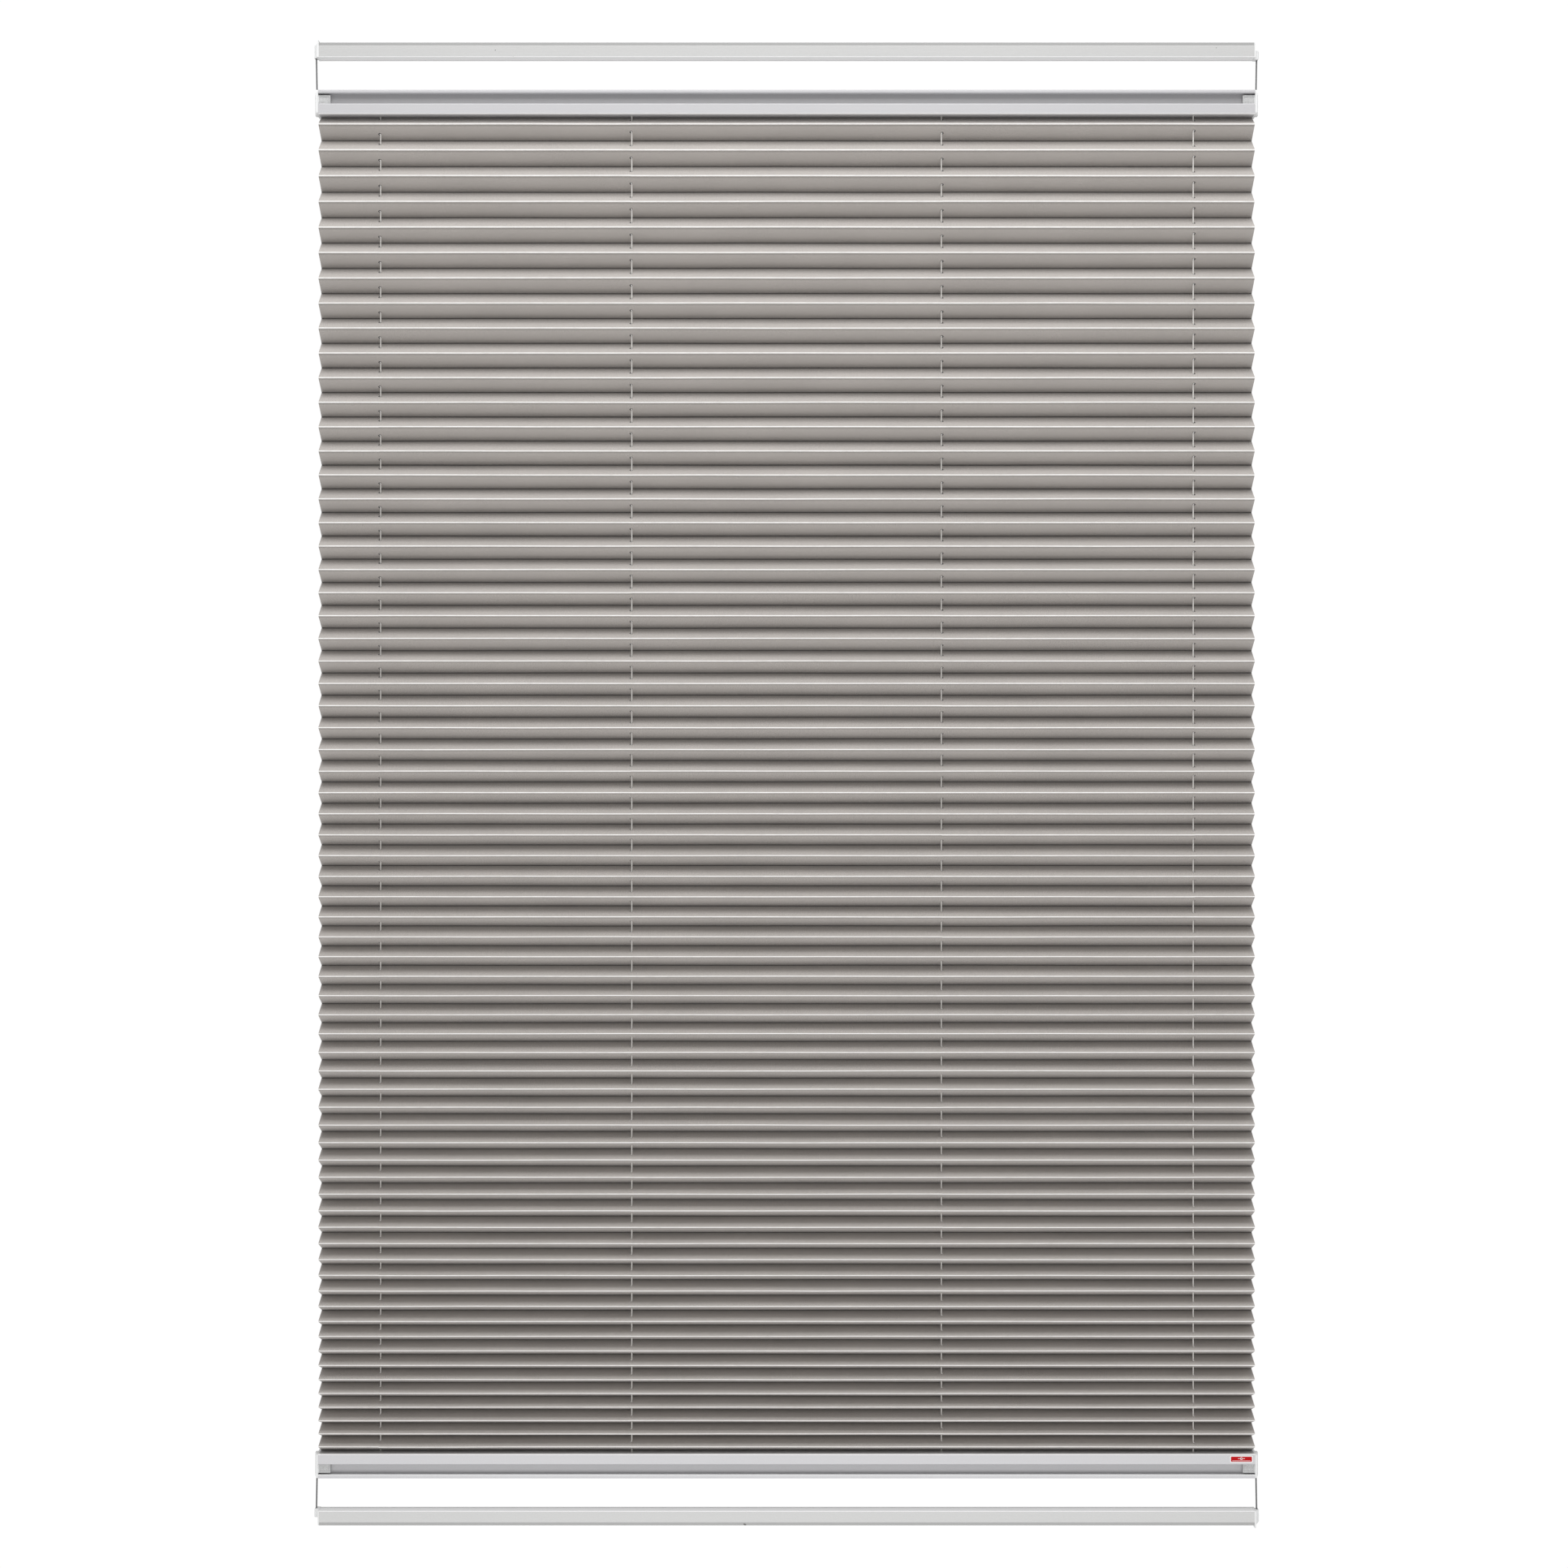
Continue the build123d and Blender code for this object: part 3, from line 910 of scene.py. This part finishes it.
            corner = abs(side).at_least(abs(rise)) / (side ** 2 + rise ** 2).root().at_least(0.5)
            stretch = 1 + near * in_rows * (corner - 1)
            centre = centre + near * ((hole_y - ya) / (yb - ya) * length - length / 2)
            x = x + near * (hole_x + side * step * stretch - x)
            round_share = stretch * round_share
            opened = near * in_rows if opened is None else opened + near * in_rows
        middle = centre + rise * step * round_share
        at_start = k < 1.5
        at_end = k > self.segments - 1.5
        edge = size("Edge")
        along = at_start * k * edge + at_end * (length - (self.segments - k) * edge)
        along = along + (1 - at_start) * (1 - at_end) * middle
        along = is_long * along + (1 - is_long) * length * k / self.segments
        t = along / length
        shifts = []
        for index in (number, number + 1):
            inner = (index > 1.5) * (index < size("Pleats") * 2 + 2.5)
            place = tree.vector(gx * self.waver_scales[0], index * self.waver_scales[1], size("Seed"))
            parts = tree.noise(place, 1.0).output("Color").xyz()
            shifts.append([(part - 0.5) * size("Waver") * inner for part in parts])
        (xa_shift, ya_shift, za_shift), (xb_shift, yb_shift, zb_shift) = shifts
        is_corner = (k < 0.5) * is_long
        inwards = size("Roundness") * is_corner
        y = ya + (yb - ya) * t + ya_shift + (yb_shift - ya_shift) * t - inwards * ya.math("SIGN")
        z = za + (zb - za) * t + (za_shift + (zb_shift - za_shift) * t) * self.waver_up
        run = (number - 2) * panel + along + (number < 1.5) * (panel - length)
        uv = tree.vector(x, run, 0.0)
        x = x + (xa_shift + (xb_shift - xa_shift) * t) * gx * self.waver_out
        cloth = tree.store(grid, UV_LAYER, "FLOAT2", "CORNER", uv)
        settings = {"data_type": "BOOLEAN", "domain": "POINT"}
        opened_here = tree.node("GeometryNodeFieldOnDomain", settings, {0: opened > 0.5})
        cloth = tree.store(cloth, "punched", "BOOLEAN", "FACE", opened_here)
        inputs = {"Geometry": cloth, "Position": tree.vector(x, y, z)}
        cloth = tree.node("GeometryNodeSetPosition", inputs=inputs)
        punched = tree.node("GeometryNodeInputNamedAttribute", {"data_type": "BOOLEAN"}, {"Name": "punched"})
        inputs = {"Geometry": cloth, "Selection": punched}
        cloth = tree.node("GeometryNodeDeleteGeometry", {"domain": "FACE"}, inputs)
        cloth = tree.node("GeometryNodeRemoveAttribute", inputs={"Geometry": cloth, "Name": "punched"})
        tree.close(cloth)
        return tree

    def build(self, punches: list[Punch], finish: Material) -> list[Piece]:
        """Make both halves.

        Args:
            punches: The columns of holes.
            finish: The cloth's material.

        Returns:
            The upper half and the lower half.
        """
        tree = self.build_tree(punches)
        split = 2 * self.middle_pleat + 2
        last = 2 * self.pleats + 4
        halves = []
        for end, first_panel, last_panel in ((End.UPPER, 0, split), (End.LOWER, split, last)):
            half = new_piece(f"cloth_{end.value}_half")
            sizes = {
                "Width": self.width, "Panel": self.panel, "Pitch Ratio": self.pitch_ratio,
                "Pitch Power": self.pitch_power, "First Fold": self.first_z, "Last Fold": self.last_z,
                "Slot Y": self.slot_y, "Top": self.top - self.rail_gap, "Bottom": self.bottom + self.rail_gap,
                "Tab": self.tab, "Punch Radius": self.punch_radius, "Edge": self.edge,
                "Roundness": self.roundness, "Waver": self.waver, "Seed": self.seed, "Pleats": self.pleats,
                "Columns": self.columns, "First Panel": first_panel, "Last Panel": last_panel,
                "Finish": finish,
            }
            for i, punch in enumerate(punches):
                sizes |= {f"Punch {i} X": punch.centre, f"Punch {i} Y": punch.y}
            tree.run_on(half, sizes)
            thick = half.modifiers.new("thickness", "SOLIDIFY")
            thick.thickness = self.thickness
            thick.offset = 0.0
            thick.use_even_offset = True
            made_plain(half)
            fold = self.fold_z(self.middle_pleat)
            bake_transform(half)
            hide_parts("pleated_cloth")
            halves.append(half)
        return halves


# ------ Cords ------


@dataclass
class TensionCord:
    """One cord, made in the stretches that its bodies carry.

    It starts in a slider in the top rail, leaves at the rail's end, crosses inside the upper handle rail to a
    column of holes, passes the cloth and takes the same way back to a clamp in the bottom rail.
    """

    node: str
    slider: str
    guide: str
    radius: float = 0.0005
    bend: float = 0.003
    side_beyond: float = 0.0024
    pocket: float = 0.004
    above_guide: float = 0.001
    sides: int = 10
    side_cuts: int = 40
    column_cuts: int = 60

    def __post_init__(self) -> None:
        """Work out the route from the frame."""
        low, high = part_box(self.node)
        slider_low, slider_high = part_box(self.slider)
        rail_low, rail_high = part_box("upper_handle_rail")
        side = -1 if abs(low.x) > abs(high.x) else 1
        inner, outer, end = (high, low, slider_low) if side < 0 else (low, high, slider_high)
        self.lane = (low.y + high.y) / 2
        self.top = high.z - self.radius
        self.middle = (low.z + high.z) / 2
        self.column = inner.x + side * self.radius
        self.outer = outer.x - side * self.radius
        self.start = end.x - side * self.pocket
        self.side_x = side * (rail_high.x + self.side_beyond)
        self.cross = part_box(self.guide)[1].z + self.above_guide
        self.rail_top, self.rail_bottom = rail_high.z, rail_low.z
        self.fixed_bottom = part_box("top_rail")[0].z

    def at(self, x: float, z: float, end: End) -> Point:
        """A point of the route, at its level in the upper half or the same level of the lower half."""
        return (x, self.lane, z if end is End.UPPER else 2 * self.middle - z)

    def crossing_x(self, z: float) -> float:
        """Where the slanting side stretch is at a level."""
        share = (self.top - z) / (self.top - self.cross)
        return self.outer + (self.side_x - self.outer) * share

    def stretches(self, end: End) -> dict[Stretch, list[Point]]:
        """The stretches of one half.

        Args:
            end: The half.

        Returns:
            The points of each stretch, from the fixed rail to the middle.
        """
        leaving = (self.crossing_x(self.fixed_bottom), self.fixed_bottom)
        arriving = (self.crossing_x(self.rail_top), self.rail_top)
        below = (self.column, self.rail_bottom)
        routes = {
            Stretch.FIXED: [(self.start, self.top), (self.outer, self.top), leaving],
            Stretch.SIDE: [leaving, arriving],
            Stretch.CROSSING: [arriving, (self.side_x, self.cross), (self.column, self.cross), below],
            Stretch.COLUMN: [below, (self.column, self.middle)],
        }
        return {stretch: [self.at(x, z, end) for x, z in route] for stretch, route in routes.items()}

    def build(self, tree: GeometryTree, finishes: dict[Stretch, Material]) -> list[Piece]:
        """Make the cord.

        Args:
            tree: The tree that lays a cord along a chain of edges.
            finishes: The material of each stretch.

        Returns:
            The stretches.
        """
        pieces = []
        cuts = {Stretch.SIDE: self.side_cuts, Stretch.COLUMN: self.column_cuts}
        sizes = {"Radius": self.radius, "Bend": self.bend, "Sides": self.sides}
        for end in End:
            for stretch, points in self.stretches(end).items():
                piece = new_piece(f"{self.node}_{end.value}_{stretch.value}", points)
                tree.run_on(piece, {**sizes, "Cuts": cuts.get(stretch, 0), "Finish": finishes[stretch]})
                made_plain(piece)
                if stretch in cuts:
                    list(self.span(stretch, points))
                    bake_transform(piece)
                else:
                    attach(piece, (Body.FIXED if stretch is Stretch.FIXED else end.body).value)
                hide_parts(self.node)
                pieces.append(piece)
        return pieces

    @staticmethod
    def span(stretch: Stretch, points: list[Point]) -> tuple[Point, Point]:
        """Where the blend of a stretch starts and ends.

        Args:
            stretch: The stretch.
            points: Its points.

        Returns:
            A point of the level that stays with the fixed frame, and one of the level that moves most.
        """
        first, last = points[0][2], points[-1][2]
        start, end = (first, last) if stretch is Stretch.SIDE else (last, first)
        return (0.0, 0.0, start), (0.0, 0.0, end)


def cord_tree() -> GeometryTree:
    """The tree that lays a round cord along a chain of edges, with bends at its corners.

    Returns:
        The tree. It stores each point's place on the straightened cord.
    """
    sizes = {"Radius": "Float", "Bend": "Float", "Cuts": "Int", "Sides": "Int"}
    tree = GeometryTree("cord_laying", sizes)
    chain = Value(tree, tree.entry, "Geometry")
    route = tree.node("GeometryNodeMeshToCurve", inputs={0: chain})
    inputs = {"Curve": route, "Radius": tree.size("Bend"), "Limit Radius": True, "Count": 8}
    route = tree.node("GeometryNodeFilletCurve", {"mode": "POLY"}, inputs)
    route = tree.node("GeometryNodeSubdivideCurve", inputs={"Curve": route, "Cuts": tree.size("Cuts")})
    length = tree.node("GeometryNodeSplineParameter", output="Length")
    route = tree.store(route, "run", "FLOAT", "POINT", length)
    inputs = {"Resolution": tree.size("Sides"), "Radius": tree.size("Radius")}
    ring = tree.node("GeometryNodeCurvePrimitiveCircle", {"mode": "RADIUS"}, inputs)
    place = tree.node("GeometryNodeInputPosition")
    ring = tree.store(ring, "ring", "FLOAT_VECTOR", "POINT", place)
    inputs = {"Curve": route, "Profile Curve": ring, "Fill Caps": True}
    cord = tree.node("GeometryNodeCurveToMesh", inputs=inputs)
    run = tree.node("GeometryNodeInputNamedAttribute", {"data_type": "FLOAT"}, {"Name": "run"})
    ring_place = tree.node("GeometryNodeInputNamedAttribute", {"data_type": "FLOAT_VECTOR"}, {"Name": "ring"})
    across, up, _ = ring_place.xyz()
    radius = tree.size("Radius")
    strand = tree.vector(across / radius, up / radius, run)
    cord = tree.store(cord, STRAND_LAYER, "FLOAT_VECTOR", "POINT", strand)
    for name in ("run", "ring"):
        cord = tree.node("GeometryNodeRemoveAttribute", inputs={"Geometry": cord, "Name": name})
    tree.close(tree.node("GeometryNodeSetShadeSmooth", inputs={"Geometry": cord}))
    return tree


# ------ Rails and fittings ------


@dataclass
class Fittings:
    """The pieces whose shape comes from the frame. They get their finishes here."""

    nodes: dict[str, Piece]
    rail_grey: Colour = (0.60, 0.60, 0.595)
    handle_silver: Colour = (0.61, 0.605, 0.62)
    # The depths between which the rails' groove walls get painted shade.
    rail_shade_depths: tuple[float, float] = (-0.0061, -0.0055)
    handle_shade_depths: tuple[float, float] = (-0.0058, -0.004)
    lip: float = 0.003
    cap_wall: float = 0.0005
    cap_depth: float = -0.0100

    def dress(self, finish: Material, *names: str) -> None:
        """Give nodes a finish.

        Args:
            finish: The material.
            *names: The nodes.
        """
        for name in names:
            mesh = self.nodes[name].data
            mesh.materials.clear()
            mesh.materials.append(finish)

    @staticmethod
    def sides(*stems: str) -> list[str]:
        """The left and the right node of each stem."""
        return [f"{stem}_{side}" for stem in stems for side in ("left", "right")]

    def build(self) -> None:
        """Dress every rail, cap and inner piece."""
        top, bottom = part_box("top_rail"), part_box("bottom_rail")
        front = top[0].y
        specks = (
            ((-0.2553, front, top[1].z - 0.0071), 0.0005),
            ((-0.2397, front, top[0].z + 0.0004), 0.0005),
            ((0.3765, front, top[1].z - 0.0050), 0.0004),
            ((-0.0364, front + 0.0012, bottom[0].z + 0.0006), 0.0012),
            ((-0.0372, front + 0.0012, bottom[0].z + 0.0012), 0.0008),
        )
        # Painted highlight: the underside of the top rail and the top of the bottom rail are painted white
        # over their whole depth.
        faces = (top[0].z, bottom[1].z)
        bright = {"highlight_levels": faces, "highlight_before": 1.0}
        fixed = SatinAluminium(
            "fixed_rail_coating", self.rail_grey, marks=specks, groove=self.rail_shade_depths, **bright
        ).build()
        lower_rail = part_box("lower_handle_rail")
        # Painted highlight: white along the front of the upper handle rail's underside, the lower handle
        # rail's top and the top of its lower lip.
        edges = (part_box("upper_handle_rail")[0].z, lower_rail[1].z, lower_rail[0].z + self.lip)
        handle = SatinAluminium(
            "handle_rail_coating", self.handle_silver, highlight_levels=edges, groove=self.handle_shade_depths
        ).build()
        recess = (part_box("upper_handle_rail")[1].x - self.cap_wall, self.cap_depth)
        cap = MouldedPlastic("cap_plastic_grey", (0.87, 0.875, 0.875), recess=recess).build()
        inner = MouldedPlastic("inner_plastic_white", (0.72, 0.72, 0.70), 0.45).build()
        block = MouldedPlastic("block_plastic_dark", (0.09, 0.09, 0.095), 0.4).build()
        self.dress(fixed, "top_rail", "bottom_rail")
        self.dress(handle, "upper_handle_rail", "lower_handle_rail")
        self.dress(cap, *self.sides("top_cap", "bottom_cap", "upper_cap", "lower_cap"))
        places = [f"{side}_{row}" for side in ("left", "right") for row in ("outer", "inner")]
        guides = [f"{end}_guide_{place}" for end in ("upper", "lower") for place in places]
        self.dress(inner, "upper_cloth_strip", "lower_cloth_strip", *guides)
        self.dress(block, *self.sides("tension_slider", "spring_anchor", "cord_clamp"))
        self.dress(BrightSteel("spring_steel_wire").build(), *self.sides("tension_spring"))
        self.dress(BrightSteel("screw_steel", (0.45, 0.45, 0.46), 0.35).build(), *self.sides("clamp_screw"))
        low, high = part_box("label_sticker")
        middle = ((low.x + high.x) / 2, (low.z + high.z) / 2)
        half = ((high.x - low.x) / 2, (high.z - low.z) / 2)
        self.dress(StickerPrint(middle, half).build(), "label_sticker")


# ------ Studio ------


@dataclass
class Studio:
    """The camera, the floor and the soft light."""

    distance: float = 2.36
    lens: float = 61.95
    aside: float = -0.0023
    floor_drop: float = 0.90
    floor_size: float = 5.6
    backdrop: float = 1.02
    ambient: float = 0.5
    overhead_power: float = 18.5
    overhead_size: tuple[float, float] = (2.0, 1.0)
    overhead_reach: float = 0.9
    fill_power: float = 12.0
    fill_size: tuple[float, float] = (2.4, 0.8)
    fill_reach: float = 1.6
    fill_drop: float = 0.6

    def build(self) -> None:
        """Set up the studio around the object."""
        low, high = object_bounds()
        self.middle = (low + high) / 2
        self.camera(low.y)
        self.floor(low.z)
        self.surround()
        above = Vector((0.0, low.y - self.overhead_reach, high.z + self.overhead_reach))
        self.lamp("overhead_softbox", above, self.overhead_size, self.overhead_power)
        below = Vector((0.0, low.y - self.fill_reach, low.z - self.fill_drop))
        self.lamp("fill_softbox", below, self.fill_size, self.fill_power)

    def camera(self, front: float) -> None:
        """Place the camera.

        Args:
            front: The object's front.
        """
        data = bpy.data.cameras.new("studio_camera")
        data.lens = self.lens
        camera = placed("studio_camera", data)
        camera.location = (self.aside, front - self.distance, self.middle.z)
        camera.rotation_euler = (math.radians(90), 0.0, 0.0)
        bpy.context.scene.camera = camera

    def floor(self, lowest: float) -> None:
        """Lay the floor under the object.

        Args:
            lowest: The object's lowest level.
        """
        half, level = self.floor_size / 2, lowest - self.floor_drop
        mesh = bpy.data.meshes.new("studio_floor")
        corners = [(-half, -half, level), (half, -half, level), (half, half, level), (-half, half, level)]
        mesh.from_pydata(corners, [], [(0, 1, 2, 3)])
        mesh.materials.append(StudioPaint().build())
        floor = placed("studio_floor", mesh)
        floor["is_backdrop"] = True

    def surround(self) -> None:
        """Make the white surround, a little dimmer as a light than as a background."""
        world = bpy.data.worlds.new("studio_surround")
        world.use_nodes = True
        bpy.context.scene.world = world
        graph = Graph(world.node_tree)
        graph.tree.nodes.clear()
        seen = graph.node("ShaderNodeLightPath", output="Is Camera Ray")
        strength = seen * (self.backdrop - self.ambient) + self.ambient
        white = (1.0, 1.0, 1.0, 1.0)
        surround = graph.node("ShaderNodeBackground", inputs={"Color": white, "Strength": strength})
        graph.tree.links.new(surround.socket, graph.tree.nodes.new("ShaderNodeOutputWorld").inputs[0])

    def lamp(self, name: str, place: Vector, size: tuple[float, float], power: float) -> None:
        """Hang a softbox that points at the object's middle.

        Args:
            name: Its name.
            place: Where it hangs.
            size: Its width and its height.
            power: Its power in watts.
        """
        data = bpy.data.lights.new(name, "AREA")
        data.shape = "RECTANGLE"
        data.size, data.size_y = size
        data.energy = power
        lamp = placed(name, data)
        lamp.location = place
        lamp.rotation_euler = (self.middle - place).to_track_quat("-Z", "Y").to_euler()
        lamp.visible_camera = False


def build_cords() -> list[TensionCord]:
    """Make the four cords.

    Returns:
        The cords.
    """
    off_white = SpunCord("cord_thread_light", (0.98, 0.96, 0.92), 0.72).build()
    # Painted shade: the fixed and side stretches take a grey copy of the same thread as the off-white
    # crossing and column stretches.
    shaded_thread = SpunCord("cord_thread_shaded", (0.21, 0.21, 0.215)).build()
    finishes = {Stretch.FIXED: shaded_thread, Stretch.SIDE: shaded_thread}
    finishes |= {Stretch.CROSSING: off_white, Stretch.COLUMN: off_white}
    tree = cord_tree()
    cords = []
    for side in ("left", "right"):
        for row in ("outer", "inner"):
            place = f"{side}_{row}"
            cord = TensionCord(f"cord_{place}", f"tension_slider_{side}", f"upper_guide_{place}")
            made = cord.build(tree, finishes)
            LOG.info("cord %s: %d stretches, column at %.4f", place, len(made), cord.column)
            cords.append(cord)
    return cords


def main() -> None:
    """Load the frame and build the looks around it."""
    logging.basicConfig(level=logging.INFO, format="%(name)s: %(message)s")
    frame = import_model()
    bpy.context.scene.view_settings.view_transform = "Standard"
    Studio().build()
    Fittings(frame["nodes"]).build()
    cords = build_cords()
    punches = [Punch(cord.column, cord.lane, math.copysign(PUNCH_OFFSET, cord.column)) for cord in cords]
    cloth = PleatedCloth()
    holes = tuple((punch.x + HOLE_SHADE_SHIFT * punch.offset, cloth.flat_place(punch.y)) for punch in punches)
    for half in cloth.build(punches, CrepeCloth(holes=holes).build()):
        LOG.info("%s: %d faces", half.name, len(half.data.polygons))


if __name__ == "__main__":
    main()
